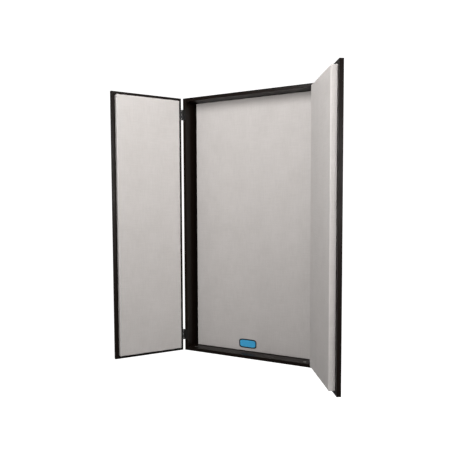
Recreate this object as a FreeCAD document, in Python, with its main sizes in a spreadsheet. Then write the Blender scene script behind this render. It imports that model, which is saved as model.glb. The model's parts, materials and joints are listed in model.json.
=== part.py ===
import FreeCAD, Part
import os
import Sketcher
from FreeCAD import Placement, Rotation, Vector

# Wall-hung vocal booth: a shallow black box with a recessed acoustic panel, and two full-height
# doors that carry a panel each. Millimetres, +Z up, the room on the -Y side, the wall at y = 0.
# The origin is the middle of the wall cleat's line of screw holes, on the wall.

DOC = FreeCAD.newDocument("vocal_booth")
SHEET = DOC.addObject("Spreadsheet::Sheet", "Sizes")

SIZES = (
    ("cab_width", 684, "width of the closed cabinet"),
    ("cab_height", 1256, "height of the cabinet and of both doors"),
    ("board", 16, "thickness of the cabinet's boards"),
    ("recess", 64, "front edge of the boards to the face of the back panel"),
    ("edge_ease", 0.8, "rounding of the boards' visible edges"),
    ("back_panel", 52, "thickness of the wrapped back panel"),
    ("panel_side_gap", 20, "back panel to side board"),
    ("panel_end_gap", 1, "back panel to top and bottom board"),
    ("back_board", 6, "thickness of the back board"),
    ("groove_depth", 6, "depth of the groove that holds the back board"),
    ("groove_play", 0.1, "clearance of the back board in its groove"),
    ("cleat", 16, "thickness of the hanging cleats and of the lower rail"),
    ("cleat_below", 32, "wall cleat: hole line to its lower edge"),
    ("cleat_above", 32, "wall cleat: hole line to the tip of its bevel"),
    ("hanging_height", 60, "front height of the cleat on the cabinet"),
    ("wall_cleat_gap", 24, "end of the wall cleat to the side board"),
    ("rail_height", 60, "height of the lower rail"),
    ("stud_spacing", 406.4, "distance between the two wall screws"),
    ("wall_hole", 3.5, "radius of the wall screw holes"),
    ("wall_sink", 8, "radius of the sinking for the wall screws' heads"),
    ("wall_sink_depth", 6, "depth of that sinking"),
    ("door_board", 18, "thickness of the door boards"),
    ("door_gap", 3, "gap between the closed doors"),
    ("door_panel", 27.5, "thickness of the wrapped door panels"),
    ("panel_play_end", 2.2, "closed door panel to top and bottom board"),
    ("panel_play_side", 3.2, "closed door panel to side board"),
    ("free_margin", 18, "door panel to the door's free edge"),
    ("wrap", 1.0, "thickness of the fabric wrap with its glue"),
    ("panel_round", 3, "rounding of the wrapped panels' edges"),
    ("wrap_fold", 35, "width of the fabric folded behind a panel"),
    ("left_open", 125.3, "left door as it stands, degrees from closed"),
    ("right_open", 123.1, "right door as it stands, degrees from closed"),
    ("hinge_length", 51, "length of a butt hinge"),
    ("hinge_inset", 55, "end of the cabinet to the nearer end of a hinge"),
    ("leaf", 1.6, "thickness of a hinge leaf"),
    ("leaf_gap", 0.6, "gap between the two leaves of a closed hinge"),
    ("leaf_margin", 1, "far edge of a leaf to the inner face of the side board"),
    ("web_lap", 1, "how far a knuckle's web runs into the plate of its leaf"),
    ("barrel", 3.5, "outer radius of the hinge barrel"),
    ("barrel_stand", 0.5, "barrel to the cabinet's side face"),
    ("barrel_play", 0.4, "barrel of one leaf to the plate of the other"),
    ("knuckle_play", 0.3, "gap between two knuckles"),
    ("pin", 1.6, "radius of a hinge pin"),
    ("pin_play", 0.05, "radial clearance of the pin in the door leaf"),
    ("pin_over", 0.6, "how far a pin stands out of the barrel"),
    ("pin_ease", 0.4, "rounding of a pin's ends"),
    ("hinge_screw_pitch", 17, "distance between the screws of a leaf"),
    ("screw_skin", 3.6, "wood left beyond the end of a screw in a door board"),
    ("screw_shank", 1.7, "radius of every small screw's shank"),
    ("screw_head", 3.3, "radius of every small screw's head"),
    ("head_rim", 0.05, "upright rim of a countersunk head"),
    ("pan_head", 1.4, "height of a pan head"),
    ("cross_depth", 0.9, "depth of the cross recess in a screw's head"),
    ("screw_play", 0.05, "radial clearance of a shank in its pilot hole"),
    ("back_screw_inset", 40, "side board to the nearest screw of the back board"),
    ("bore_over", 0.5, "blind bores and grooves: depth beyond what they hold"),
    ("cam", 7.5, "radius of a cam lock"),
    ("cam_skin", 3.3, "wood left under a cam lock's pocket"),
    ("cam_floor", 0.2, "gap between a cam lock and the floor of its pocket"),
    ("cam_cross", 4.5, "half length of the cross slot in a cam lock"),
    ("cam_slot", 0.9, "half width of that slot"),
    ("cam_slot_depth", 2.5, "depth of that slot"),
    ("cam_inset", 34, "cam lock to the side board"),
    ("cam_front", 26, "cam lock to the front or rear edge of the board"),
    ("bolt", 3.5, "radius of a cam bolt's shaft"),
    ("bolt_bore", 4, "radius of the bore for a cam bolt"),
    ("bolt_play", 0.2, "radial clearance of the bolt in the cam lock"),
    ("bolt_reach", 1, "end of a cam bolt to the middle of its cam lock"),
    ("bolt_neck", 1.9, "radius of the neck that the cam grips"),
    ("neck_length", 4, "length of that neck"),
    ("bolt_head", 3.15, "radius of the head behind the neck"),
    ("head_length", 3, "length of that head"),
    ("bolt_thread", 2.5, "radius of a cam bolt's thread"),
    ("thread_skin", 5, "wood left beyond that thread in the side board"),
    ("dowel", 3.95, "radius of a wooden dowel"),
    ("dowel_length", 30, "length of a dowel"),
    ("dowel_skin", 6, "wood left beyond a dowel in the side board"),
    ("dowel_ease", 0.8, "rounding of a dowel's ends"),
    ("dowel_step", 24, "dowel to the nearest cam lock, front to back"),
    ("clip_width", 50, "width of an impaling clip"),
    ("clip_height", 38, "height of an impaling clip"),
    ("clip_thick", 0.8, "thickness of its sheet"),
    ("clip_spike", 14, "length of its spikes"),
    ("spike_half", 2.5, "half width of a spike at its root"),
    ("spike_inset", 6, "edge of the sheet to the middle of a spike"),
    ("clip_inset", 90, "panel edge to the middle of the nearest clip"),
    ("plate_width", 94, "width of the blank plate on the back panel"),
    ("plate_height", 44, "height of the blank plate"),
    ("plate_thick", 1.5, "thickness of the blank plate"),
    ("plate_round", 6, "rounding of the plate's corners"),
    ("plate_up", 37, "lower edge of the panel to the middle of the plate"),
    ("plate_left", 18, "middle of the panel to the middle of the plate"),
)


class Size:
    """A length that carries both its number and its spreadsheet expression."""

    def __init__(self, number, text):
        self.number = number
        self.text = text

    @staticmethod
    def of(value):
        if isinstance(value, Size):
            return value
        return Size(float(value), repr(float(value)))

    def _with(self, other, sign, number):
        return Size(number, "({} {} {})".format(self.text, sign, other.text))

    def __add__(self, value):
        other = Size.of(value)
        return self._with(other, "+", self.number + other.number)

    def __sub__(self, value):
        other = Size.of(value)
        return self._with(other, "-", self.number - other.number)

    def __mul__(self, value):
        other = Size.of(value)
        return self._with(other, "*", self.number * other.number)

    def __truediv__(self, value):
        other = Size.of(value)
        return self._with(other, "/", self.number / other.number)

    def __neg__(self):
        return Size.of(0) - self

    def __radd__(self, value):
        return Size.of(value) + self

    def __rsub__(self, value):
        return Size.of(value) - self

    def __rmul__(self, value):
        return Size.of(value) * self


class Sheet:
    """The driving sizes by name, each as a Size bound to its cell."""


def fill_sheet():
    """Writes the driving sizes into the spreadsheet and gives them as Size values."""
    sheet = Sheet()
    for row, (alias, number, note) in enumerate(SIZES, start=1):
        SHEET.set("A{}".format(row), note)
        SHEET.set("B{}".format(row), str(number))
        SHEET.setAlias("B{}".format(row), alias)
        setattr(sheet, alias, Size(float(number), "Sizes." + alias))
    DOC.recompute()
    return sheet


d = fill_sheet()

# Lengths that follow from the driving sizes.
HALF = d.cab_width / 2
INNER = HALF - d.board
DEPTH = d.recess + d.back_panel + d.back_board + d.cleat
TOP = d.cleat_above + d.hanging_height + d.board
BOTTOM = TOP - d.cab_height
FLOOR = BOTTOM + d.board
CEILING = TOP - d.board
BACK_FACE = -(d.cleat + d.back_board)
CAM_ROWS = (-DEPTH + d.cam_front, BACK_FACE - d.cam_front)
DOWEL_ROWS = (CAM_ROWS[0] + d.dowel_step, CAM_ROWS[1] - d.dowel_step)
DOOR_WIDTH = HALF - d.door_gap / 2
DOOR_JOINT = d.leaf * 2 + d.leaf_gap
HINGE_OUT = d.barrel + d.barrel_stand
CAM_HEIGHT = d.board - d.cam_skin - d.cam_floor
THREAD = d.board - d.thread_skin
DOWEL_IN_SIDE = d.board - d.dowel_skin
PILOT = d.screw_shank + d.screw_play
HINGE_SCREW_LENGTH = d.door_board + d.leaf - d.screw_skin
CLIP_SCREW_LENGTH = d.door_board + d.clip_thick - d.screw_skin
BACK_CLIP_SCREW_LENGTH = d.back_board + d.clip_thick - d.bore_over
BACK_SCREW_LENGTH = d.back_board + d.cleat / 2
BACK_SCREWS_X = [step * (INNER - d.back_screw_inset) / 2 for step in (-2, -1, 0, 1, 2)]
HANGING_LEVEL = d.cleat_above + d.hanging_height / 2
RAIL_LEVEL = FLOOR + d.rail_height / 2
HINGE_LEVELS = {
    "upper": TOP - d.hinge_inset - d.hinge_length / 2,
    "lower": BOTTOM + d.hinge_inset + d.hinge_length / 2,
}
LEAF_SCREWS = (-1, 0, 1)
SIDES = {"left": 1, "right": -1}
INTO_BACK = Rotation(Vector(1, 0, 0), 90)
INTO_DOOR = Rotation(Vector(1, 0, 0), -90)

SAME_PLACE = 0.01    # two coordinates this close are the same
SMALLEST_CUT = 0.5   # cubic millimetres that every cut has to remove

NODES = []
POCKETS = []


def bind(item, path, size):
    """Ties one property of a document object to the sheet."""
    item.setExpression(path, Size.of(size).text)


def put(item, at, turn=Rotation()):
    """Places an object; the three coordinates follow the sheet."""
    item.Placement = Placement(Vector(*[Size.of(c).number for c in at]), turn)
    for axis, coordinate in zip("xyz", at):
        bind(item, "Placement.Base." + axis, coordinate)


def as_node(item, label, side=None):
    """Makes an object one of the exported pieces; a door's piece is turned about its hinge line."""
    item.Label = label
    if side is not None:
        sign = SIDES[side]
        angle = getattr(d, side + "_open")
        turn = Rotation(Vector(0, 0, -sign), angle.number)
        put(item, (-sign * (HALF + HINGE_OUT), -DEPTH - DOOR_JOINT / 2, 0), turn)
        bind(item, "Placement.Rotation.Angle", angle)
    NODES.append(item)
    return item


def new_body(name):
    return DOC.addObject("PartDesign::Body", name)


def sketch_on(body, role, offset):
    """An empty sketch on one of the body's own planes, moved along the plane's normal."""
    sketch = body.newObject("Sketcher::SketchObject", body.Name + "_sketch")
    plane = [item for item in body.Origin.OriginFeatures if item.Role == role][0]
    sketch.AttachmentSupport = (plane, [""])
    sketch.MapMode = "FlatFace"
    bind(sketch, "AttachmentOffset.Base.z", offset)
    return sketch


def fix_point(sketch, geometry, point, at):
    """Holds a sketch point at a place measured from the sketch's origin."""
    for axis, coordinate in zip("XY", at):
        coordinate = Size.of(coordinate)
        kind = "Distance" + axis
        index = sketch.addConstraint(
            Sketcher.Constraint(kind, -1, 1, geometry, point, coordinate.number))
        bind(sketch, "Constraints[{}]".format(index), coordinate)


def polygon(body, role, offset, corners):
    """A closed outline of straight lines through the given corners."""
    sketch = sketch_on(body, role, offset)
    ends = [Vector(Size.of(a).number, Size.of(b).number, 0) for a, b in corners]
    count = len(ends)
    for i in range(count):
        sketch.addGeometry(Part.LineSegment(ends[i], ends[(i + 1) % count]))
    for i in range(count):
        sketch.addConstraint(Sketcher.Constraint("Coincident", i, 2, (i + 1) % count, 1))
        fix_point(sketch, i, 1, corners[i])
    return sketch


def rectangle(body, role, offset, low, high):
    """A rectangle between two opposite corners."""
    corners = (low, (high[0], low[1]), high, (low[0], high[1]))
    return polygon(body, role, offset, corners)


def circles(body, role, offset, centres, radius):
    """Equal circles on one sketch."""
    sketch = sketch_on(body, role, offset)
    for centre in centres:
        middle = Vector(Size.of(centre[0]).number, Size.of(centre[1]).number, 0)
        shape = Part.Circle(middle, Vector(0, 0, 1), Size.of(radius).number)
        index = sketch.addGeometry(shape)
        fix_point(sketch, index, 3, centre)
        rim = sketch.addConstraint(
            Sketcher.Constraint("Radius", index, Size.of(radius).number))
        bind(sketch, "Constraints[{}]".format(rim), radius)
    return sketch


def pad(body, sketch, length):
    """Raises a sketch along its plane's normal."""
    feature = body.newObject("PartDesign::Pad", body.Name + "_pad")
    feature.Profile = sketch
    bind(feature, "Length", length)
    return feature


def pocket(body, sketch, depth, along_normal=False):
    """Cuts a sketch into the body, against its plane's normal or along it."""
    feature = body.newObject("PartDesign::Pocket", body.Name + "_pocket")
    feature.Profile = sketch
    feature.Reversed = along_normal
    bind(feature, "Length", depth)
    POCKETS.append(feature)
    return feature


def revolve(body, sketch):
    """Turns a half profile about the sketch's upright axis."""
    feature = body.newObject("PartDesign::Revolution", body.Name + "_turned")
    feature.Profile = sketch
    feature.ReferenceAxis = (sketch, ["V_Axis"])
    feature.Angle = 360
    return feature


def ease(body, radius, wanted=lambda start, end: True):
    """Rounds the edges of the body's last feature whose two end points pass the test."""
    DOC.recompute()
    base = body.Tip
    names = []
    for index, edge in enumerate(base.Shape.Edges, start=1):
        ends = [vertex.Point for vertex in edge.Vertexes]
        if wanted(ends[0], ends[-1]):
            names.append("Edge{}".format(index))
    feature = body.newObject("PartDesign::Fillet", body.Name + "_eased")
    feature.Base = (base, names)
    bind(feature, "Radius", radius)
    return feature


def ease_front(body):
    """Rounds the four edges round a board's front face."""
    front = -DEPTH.number
    ease(body, d.edge_ease,
         lambda *ends: all(abs(end.y - front) < SAME_PLACE for end in ends))


def block(body, low, high):
    """A rectangular solid between two corners, as a padded rectangle."""
    sketch = rectangle(body, "XY_Plane", low[2], low[:2], high[:2])
    return pad(body, sketch, high[2] - low[2])


def group(label, copies, side=None):
    """Separate identical solids under one node."""
    compound = DOC.addObject("Part::Compound", label)
    compound.Links = copies
    return as_node(compound, label, side)


def copy_at(master, at, turn):
    """One placed copy of a master piece."""
    copy = DOC.addObject("Part::Compound", master.Name + "_copy")
    copy.Links = [master]
    put(copy, at, turn)
    return copy


def screw(name, length, outline, top):
    """A cross-recessed screw turned from half the head's outline, its shank along -Z."""
    body = new_body(name)
    shank = ((d.screw_shank, -length + d.screw_shank * 2), (0, -length))
    revolve(body, polygon(body, "XZ_Plane", 0, outline + shank))
    half_slot = d.screw_head * 0.12
    half_cross = d.screw_head * 0.55
    for wide, deep in ((half_slot, half_cross), (half_cross, half_slot)):
        slot = rectangle(body, "XY_Plane", top, (-wide, -deep), (wide, deep))
        pocket(body, slot, d.cross_depth)
    return body


def sunk_screw(name, length):
    """Countersunk screw, its flat head level with z = 0."""
    slope = d.screw_head - d.screw_shank
    outline = ((0, 0), (d.screw_head, 0), (d.screw_head, -d.head_rim),
               (d.screw_shank, -d.head_rim - slope))
    return screw(name, length, outline, 0)


def pan_screw(name, length):
    """Pan-head screw, the seat of its head at z = 0."""
    shoulder = d.pan_head * 0.6
    outline = ((0, d.pan_head), (d.screw_head - shoulder, d.pan_head), (d.screw_head, shoulder),
               (d.screw_head, 0), (d.screw_shank, 0))
    return screw(name, length, outline, d.pan_head)


def countersunk(body, sketch, along_normal=False):
    """Through holes with a 90 degree countersink for the small screws."""
    DOC.recompute()
    holes = body.newObject("PartDesign::Hole", body.Name + "_holes")
    holes.Profile = sketch
    holes.Reversed = along_normal
    holes.DepthType = "ThroughAll"
    holes.HoleCutType = "Countersink"
    holes.HoleCutCountersinkAngle = 90
    bind(holes, "Diameter", (d.screw_shank + d.screw_play * 2) * 2)
    bind(holes, "HoleCutDiameter", (d.screw_head + d.screw_play * 2) * 2)
    POCKETS.append(holes)


def side_board(side):
    """Upright board with the back board's groove and the holes for bolts, dowels and hinges."""
    sign = SIDES[side]
    body = new_body(side + "_side_board")
    inner = -sign * INNER
    outer = -sign * HALF
    low_x, high_x = (outer, inner) if sign > 0 else (inner, outer)
    block(body, (low_x, -DEPTH, BOTTOM), (high_x, Size.of(0), TOP))
    ease_front(body)
    # The groove runs up the inner face, and stops at the top and bottom board's grooves.
    groove = rectangle(body, "YZ_Plane", inner,
                       (BACK_FACE - d.groove_play, FLOOR - d.groove_depth),
                       (-d.cleat + d.groove_play, CEILING + d.groove_depth))
    into_board = sign < 0
    pocket(body, groove, d.groove_depth, into_board)
    levels = (BOTTOM + d.board / 2, TOP - d.board / 2)
    threads = [(row, level) for row in CAM_ROWS for level in levels]
    pocket(body, circles(body, "YZ_Plane", inner, threads, d.bolt_thread + d.screw_play),
           THREAD + d.bore_over, into_board)
    dowels = [(row, level) for row in DOWEL_ROWS for level in levels]
    pocket(body, circles(body, "YZ_Plane", inner, dowels, d.dowel + d.screw_play),
           DOWEL_IN_SIDE + d.bore_over, into_board)
    column = -sign * (HALF - d.board / 2)
    pilots = [(column, level + step * d.hinge_screw_pitch)
              for level in HINGE_LEVELS.values() for step in LEAF_SCREWS]
    pocket(body, circles(body, "XZ_Plane", DEPTH, pilots, PILOT), HINGE_SCREW_LENGTH)
    as_node(body, side + "_side_board")


def end_board(name, low, high, groove_face, cam_face):
    """Top or bottom board between the sides, with its groove, cam pockets and end bores."""
    body = new_body(name)
    block(body, (-INNER, -DEPTH, low), (INNER, Size.of(0), high))
    ease_front(body)
    upward = groove_face is low
    groove = rectangle(body, "XY_Plane", groove_face,
                       (-INNER, BACK_FACE - d.groove_play), (INNER, -d.cleat + d.groove_play))
    pocket(body, groove, d.groove_depth, upward)
    cams = [(s * (INNER - d.cam_inset), row) for s in (-1, 1) for row in CAM_ROWS]
    pocket(body, circles(body, "XY_Plane", cam_face, cams, d.cam + d.screw_play),
           CAM_HEIGHT + d.cam_floor)
    middle = (low + high) / 2
    bolts = [(row, middle) for row in CAM_ROWS]
    dowels = [(row, middle) for row in DOWEL_ROWS]
    dowel_depth = d.dowel_length - DOWEL_IN_SIDE + d.bore_over
    for end, inward in ((-INNER, True), (INNER, False)):
        pocket(body, circles(body, "YZ_Plane", end, bolts, d.bolt_bore), d.cam_inset, inward)
        pocket(body, circles(body, "YZ_Plane", end, dowels, d.dowel + d.screw_play),
               dowel_depth, inward)
    as_node(body, name)


def cleat_profile(name, half_length, corners, holes):
    """A board of constant section along X; its holes are cut from the room side."""
    body = new_body(name)
    pad(body, polygon(body, "YZ_Plane", -half_length, corners), half_length * 2)
    for centres, radius, depth in holes:
        pocket(body, circles(body, "XZ_Plane", d.cleat, centres, radius), depth)
    as_node(body, name)


def hanging_pieces():
    """The cleat on the cabinet hooks over the bevel of the wall cleat; the rail keeps it upright."""
    grip = BACK_SCREW_LENGTH - d.back_board + d.bore_over
    slope_front = (-d.cleat, d.cleat_above)
    slope_wall = (Size.of(0), d.cleat_above - d.cleat)
    cleat_profile(
        "hanging_cleat", INNER,
        (slope_front, slope_wall, (Size.of(0), CEILING), (-d.cleat, CEILING)),
        [([(x, HANGING_LEVEL) for x in BACK_SCREWS_X], PILOT, grip)])
    studs = [(-d.stud_spacing / 2, Size.of(0)), (d.stud_spacing / 2, Size.of(0))]
    cleat_profile(
        "wall_cleat", INNER - d.wall_cleat_gap,
        ((-d.cleat, -d.cleat_below), (Size.of(0), -d.cleat_below), slope_wall, slope_front),
        [(studs, d.wall_hole, d.cleat), (studs, d.wall_sink, d.wall_sink_depth)])
    cleat_profile(
        "lower_rail", INNER,
        ((-d.cleat, FLOOR), (Size.of(0), FLOOR), (Size.of(0), FLOOR + d.rail_height),
         (-d.cleat, FLOOR + d.rail_height)),
        [([(x, RAIL_LEVEL) for x in BACK_SCREWS_X], PILOT, grip)])


def back_board_piece():
    """Thin board in the groove of the four boards, with holes for its screws."""
    body = new_body("back_board")
    reach = d.groove_depth - d.bore_over
    block(body, (-INNER - reach, BACK_FACE, FLOOR - reach),
          (INNER + reach, -d.cleat, CEILING + reach))
    pilots = circles(body, "XZ_Plane", -BACK_FACE, back_clip_places(), PILOT)
    pocket(body, pilots, d.back_board)
    centres = [(x, z) for x in BACK_SCREWS_X for z in (HANGING_LEVEL, RAIL_LEVEL)]
    countersunk(body, circles(body, "XZ_Plane", -BACK_FACE, centres, d.screw_shank))
    as_node(body, "back_board")
    master = sunk_screw("back_screw", BACK_SCREW_LENGTH)
    copies = [copy_at(master, (x, BACK_FACE, z), INTO_BACK) for x, z in centres]
    group("back_screws", copies)


def corner_joints():
    """Cam locks, their bolts and the dowels of the four corners."""
    cam = new_body("cam_lock")
    pad(cam, circles(cam, "XY_Plane", -CAM_HEIGHT, [(0, 0)], d.cam), CAM_HEIGHT)
    bore = circles(cam, "YZ_Plane", 0, [(0, -d.board / 2)], d.bolt + d.bolt_play)
    pocket(cam, bore, d.cam, True)
    for wide, deep in ((d.cam_slot, d.cam_cross), (d.cam_cross, d.cam_slot)):
        slot = rectangle(cam, "XY_Plane", 0, (-wide, -deep), (wide, deep))
        pocket(cam, slot, d.cam_slot_depth)

    bolt = new_body("cam_bolt")
    tip = d.cam_inset - d.bolt_reach
    head = tip - d.head_length
    neck = head - d.neck_length
    outline = (
        (0, -THREAD), (d.bolt_thread, -THREAD), (d.bolt_thread, 0), (d.bolt, 0),
        (d.bolt, neck), (d.bolt_neck, neck), (d.bolt_neck, head),
        (d.bolt_head, head), (d.bolt_head, tip), (0, tip),
    )
    revolve(bolt, polygon(bolt, "XZ_Plane", 0, outline))

    peg = new_body("dowel_peg")
    pad(peg, circles(peg, "XY_Plane", -DOWEL_IN_SIDE, [(0, 0)], d.dowel), d.dowel_length)
    ease(peg, d.dowel_ease, lambda start, end: abs(start.z - end.z) < SAME_PLACE)

    cams, bolts, pegs = [], [], []
    for sign in (-1, 1):
        outward = Rotation(Vector(0, 0, 1), 0 if sign > 0 else 180)
        inward = Rotation(Vector(0, 1, 0), -90 * sign)
        for face, middle in ((FLOOR, FLOOR - d.board / 2), (TOP, TOP - d.board / 2)):
            for row in CAM_ROWS:
                cams.append(copy_at(cam, (sign * (INNER - d.cam_inset), row, face), outward))
                bolts.append(copy_at(bolt, (sign * INNER, row, middle), inward))
            for row in DOWEL_ROWS:
                pegs.append(copy_at(peg, (sign * INNER, row, middle), inward))
    group("cam_locks", cams)
    group("cam_bolts", bolts)
    group("wood_dowels", pegs)


def impaling_clip():
    """Sheet-steel clip in the XY plane with four spikes bent up along +Z."""
    body = new_body("impaling_clip")
    half_w = d.clip_width / 2
    half_h = d.clip_height / 2
    pad(body, rectangle(body, "XY_Plane", 0, (-half_w, -half_h), (half_w, half_h)), d.clip_thick)
    tip = d.clip_thick + d.clip_spike
    for side in (-1, 1):
        for end in (-1, 1):
            x = side * (half_w - d.spike_inset)
            spike = polygon(body, "XZ_Plane", -end * (half_h - d.spike_inset),
                            ((x - d.spike_half, 0), (x + d.spike_half, 0), (x, tip)))
            pad(body, spike, d.clip_thick)
    hole = circles(body, "XY_Plane", d.clip_thick, [(0, 0)], PILOT)
    pocket(body, hole, d.clip_thick)
    return body


CLIP = impaling_clip()


def back_clip_places():
    """Six places behind the back panel, two columns of three."""
    column = INNER - d.panel_side_gap - d.clip_inset
    reach = (d.cab_height / 2 - d.board) - d.panel_end_gap - d.clip_inset
    middle = (TOP + BOTTOM) / 2
    return [(s * column, middle + step * reach) for s in (-1, 1) for step in (-1, 0, 1)]


def wrapped_panel(prefix, low, high, thickness, face, outward, side=None):
    """A glass wool core and the fabric round it, on a board whose face is the plane y = face.

    The outer size is the rectangle from low to high in X and Z, raised by thickness to the side
    given by outward. The fabric covers the front and the edges and folds behind the core.
    """
    def depth_range(near, far):
        ends = (face + outward * near, face + outward * far)
        return ends if outward > 0 else (ends[1], ends[0])

    def solid(name, inset, near, far):
        body = new_body(name)
        y_low, y_high = depth_range(near, far)
        block(body, (low[0] + inset, y_low, low[1] + inset),
              (high[0] - inset, y_high, high[1] - inset))
        return body

    def eased_solid(name, inset, near, far, radius):
        """The same, with every edge rounded that isn't one of the four at the board."""
        body = solid(name, inset, near, far)
        at_board = Size.of(face + outward * near).number
        ease(body, radius,
             lambda *ends: any(abs(end.y - at_board) > SAME_PLACE for end in ends))
        return body

    outer = eased_solid(prefix + "_outer", Size.of(0), Size.of(0), thickness, d.panel_round)
    inner = (d.wrap, d.wrap, thickness - d.wrap, d.panel_round - d.wrap)
    core = eased_solid(prefix + "_core", *inner)
    filling = eased_solid(prefix + "_filling", *inner)
    window = solid(prefix + "_window", d.wrap_fold, -d.wrap, d.wrap)
    tools = DOC.addObject("Part::MultiFuse", prefix + "_hollow")
    tools.Shapes = [filling, window]
    fabric = DOC.addObject("Part::Cut", prefix + "_fabric")
    fabric.Base = outer
    fabric.Tool = tools
    as_node(core, prefix + "_core", side)
    as_node(fabric, prefix + "_fabric", side)


def back_panel_pieces():
    """The recessed panel, its clips and the blank plate on its face."""
    half = INNER - d.panel_side_gap
    low_z = FLOOR + d.panel_end_gap
    wrapped_panel("back_panel", (-half, low_z), (half, CEILING - d.panel_end_gap),
                  d.back_panel, BACK_FACE, -1)
    places = back_clip_places()
    group("back_panel_clips", [copy_at(CLIP, (x, BACK_FACE, z), INTO_BACK) for x, z in places])
    short = pan_screw("back_clip_screw", BACK_CLIP_SCREW_LENGTH)
    seat = BACK_FACE - d.clip_thick
    group("back_clip_screws", [copy_at(short, (x, seat, z), INTO_BACK) for x, z in places])

    plate = new_body("maker_plate")
    panel_face = -(BACK_FACE - d.back_panel)
    middle = low_z + d.plate_up
    outline = rectangle(plate, "XZ_Plane", panel_face,
                        (-d.plate_left - d.plate_width / 2, middle - d.plate_height / 2),
                        (-d.plate_left + d.plate_width / 2, middle + d.plate_height / 2))
    pad(plate, outline, d.plate_thick)
    ease(plate, d.plate_round, lambda start, end: abs(start.y - end.y) > SAME_PLACE)
    as_node(plate, "maker_plate")


def hinge_leaf(label, sign, axis, level, is_frame, side=None):
    """One leaf of a five-knuckle butt hinge; the frame leaf has knuckles 0, 2, 4, the door 1, 3."""
    body = new_body(label)
    low = level - d.hinge_length / 2
    near, far = (DOOR_JOINT / 2 - d.leaf, DOOR_JOINT / 2)
    if not is_frame:
        near, far = (-far, -near)
    y_low, y_high = axis[1] + near, axis[1] + far

    def strip(start, stop):
        """X range from start to stop, measured from the hinge line towards the board."""
        ends = (axis[0] + sign * start, axis[0] + sign * stop)
        return ends if sign > 0 else (ends[1], ends[0])

    plate_start = d.barrel + d.barrel_play
    x_low, x_high = strip(plate_start, HINGE_OUT + d.board - d.leaf_margin)
    block(body, (x_low, y_low, low), (x_high, y_high, low + d.hinge_length))
    knuckle = d.hinge_length / 5
    for index in ((0, 2, 4) if is_frame else (1, 3)):
        start = low + knuckle * index
        stop = start + knuckle
        if index > 0:
            start = start + d.knuckle_play / 2
        if index < 4:
            stop = stop - d.knuckle_play / 2
        web_low, web_high = strip(Size.of(0), plate_start + d.web_lap)
        block(body, (web_low, y_low, start), (web_high, y_high, stop))
        pad(body, circles(body, "XY_Plane", start, [axis], d.barrel), stop - start)
    bore = d.pin if is_frame else d.pin + d.pin_play
    pocket(body, circles(body, "XY_Plane", low + d.hinge_length, [axis], bore), d.hinge_length)
    column = axis[0] + sign * (HINGE_OUT + d.board / 2)
    rows = [(column, level + step * d.hinge_screw_pitch) for step in LEAF_SCREWS]
    outer_face = -y_low if is_frame else -y_high
    seats = circles(body, "XZ_Plane", outer_face, rows, d.screw_shank)
    countersunk(body, seats, not is_frame)
    as_node(body, label, side)


def hinges(side):
    """Two butt hinges with their pins and the screws of the frame leaves."""
    sign = SIDES[side]
    axis = (-sign * (HALF + HINGE_OUT), -DEPTH - DOOR_JOINT / 2)
    frame_screws, door_screws = [], []
    column = HINGE_OUT + d.board / 2
    for name, level in HINGE_LEVELS.items():
        prefix = side + "_" + name
        hinge_leaf(prefix + "_frame_leaf", sign, axis, level, True)
        hinge_leaf(prefix + "_door_leaf", sign, (Size.of(0), Size.of(0)), level, False, side)
        pin = new_body(prefix + "_hinge_pin")
        low = level - d.hinge_length / 2 - d.pin_over
        length = d.hinge_length + d.pin_over * 2
        pad(pin, circles(pin, "XY_Plane", low, [axis], d.pin), length)
        ease(pin, d.pin_ease, lambda start, end: abs(start.z - end.z) < SAME_PLACE)
        as_node(pin, prefix + "_hinge_pin")
        for step in LEAF_SCREWS:
            z = level + step * d.hinge_screw_pitch
            at_frame = (axis[0] + sign * column, -DEPTH - d.leaf, z)
            frame_screws.append(copy_at(HINGE_SCREW, at_frame, INTO_BACK))
            at_door = (sign * column, -DOOR_JOINT / 2 + d.leaf, z)
            door_screws.append(copy_at(HINGE_SCREW, at_door, INTO_DOOR))
    group(side + "_frame_leaf_screws", frame_screws)
    group(side + "_door_leaf_screws", door_screws, side)


HINGE_SCREW = sunk_screw("hinge_screw", HINGE_SCREW_LENGTH)
CLIP_SCREW = pan_screw("clip_screw", CLIP_SCREW_LENGTH)


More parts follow.
